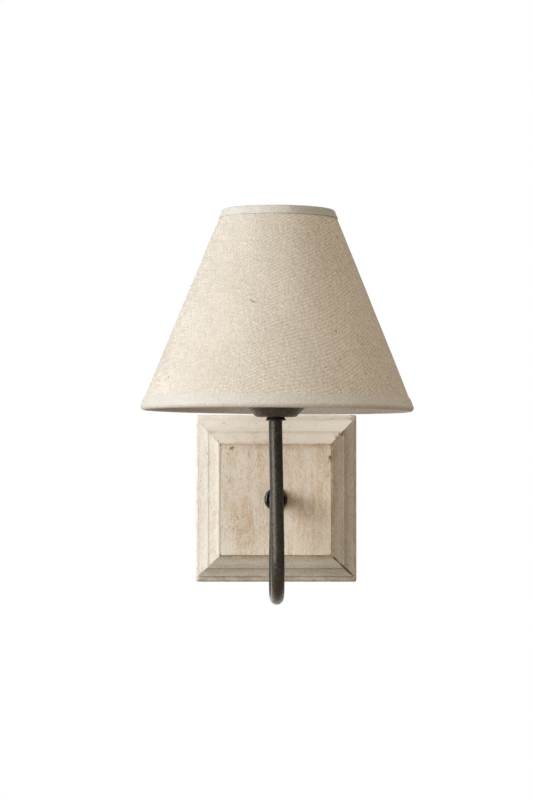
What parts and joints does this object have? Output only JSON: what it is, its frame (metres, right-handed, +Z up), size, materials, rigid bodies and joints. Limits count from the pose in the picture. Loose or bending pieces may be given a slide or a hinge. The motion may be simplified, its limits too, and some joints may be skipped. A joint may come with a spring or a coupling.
{
  "type": "wall lamp",
  "caption": "Wall lamp with a mitred limed-wood plate, a bent dark bronze tube arm, a flared cup and a conical linen shade on an E14 lampholder.",
  "frame": {"origin": "middle of the wall bracket on the wall plane, behind the centre of the wooden plate", "axes": "+Y points into the wall, so the lamp stands out towards -Y; +Z is up; +X is to the right of a person facing the lamp"},
  "size_m": [0.2008, 0.2304, 0.2911],
  "materials": {
    "limed_wood": "limed and glazed, worn, matt",
    "dark_bronze": "dark bronze, slightly rough, satin",
    "zinc_steel": "zinc plated",
    "brass": "plain brass",
    "holder_plastic": "off-white thermoplastic",
    "linen": "natural linen weave with slubs",
    "shade_lining": "off-white lining sheet",
    "trim_tape": "off-white woven tape",
    "white_wire": "white enamelled wire",
    "bulb_glass": "frosted glass",
    "bulb_metal": "bright nickel",
    "bulb_black": "black glass",
    "bulb_filament": "yellow coated filaments on a glass stem",
    "terminal_nylon": "natural nylon",
    "brown_wire": "brown insulation",
    "blue_wire": "blue insulation",
    "green_wire": "green and yellow insulation"
  },
  "bodies": {
    "wall_body": {"back_board": "limed_wood", "frame_rail_top": "limed_wood", "frame_rail_bottom": "limed_wood", "frame_stile_left": "limed_wood", "frame_stile_right": "limed_wood", "centre_panel": "limed_wood", "wall_bracket": "zinc_steel", "side_screws": "zinc_steel", "arm_tube": "dark_bronze", "boss": "dark_bronze", "arm_washer": "zinc_steel", "arm_nut": "brass", "earth_tag": "brass", "arm_collar": "dark_bronze", "cup": "dark_bronze", "cup_nut": "zinc_steel", "lampholder_cap": "holder_plastic", "lampholder_core": "holder_plastic", "lampholder_skirt": "holder_plastic", "grub_screw": "zinc_steel", "screw_shell": "brass", "centre_contact": "brass", "holder_screws": "brass", "terminal_block": "terminal_nylon", "terminal_inserts": "brass", "terminal_screws": "zinc_steel", "block_screw": "zinc_steel", "live_wire": "brown_wire", "neutral_wire": "blue_wire", "earth_wire": "green_wire"},
    "shade": {"shade_fabric": "linen", "shade_liner": "shade_lining", "top_trim": "trim_tape", "bottom_trim": "trim_tape", "shade_top_ring": "white_wire", "shade_bottom_ring": "white_wire", "shade_fitter": "white_wire"},
    "ring": {"shade_ring": "holder_plastic"},
    "bulb": {"bulb_glass": "bulb_glass", "bulb_cap": "bulb_metal", "bulb_insulator": "bulb_black", "bulb_contact": "bulb_metal", "bulb_filament": "bulb_filament"}
  },
  "joints": [
    {"name": "shade_turn", "type": "hinge", "parent": "wall_body", "child": "shade", "pos_m": [0, -0.13, 0.095], "axis": [0, 0, 1], "continuous": true},
    {"name": "ring_turn", "type": "hinge", "parent": "wall_body", "child": "ring", "pos_m": [0, -0.13, 0.099], "axis": [0, 0, 1], "range_deg": [0, 990]},
    {"name": "bulb_lift", "type": "slide", "parent": "wall_body", "child": "bulb", "axis": [0, 0, 1], "range_m": [0, 0.14]}
  ]
}
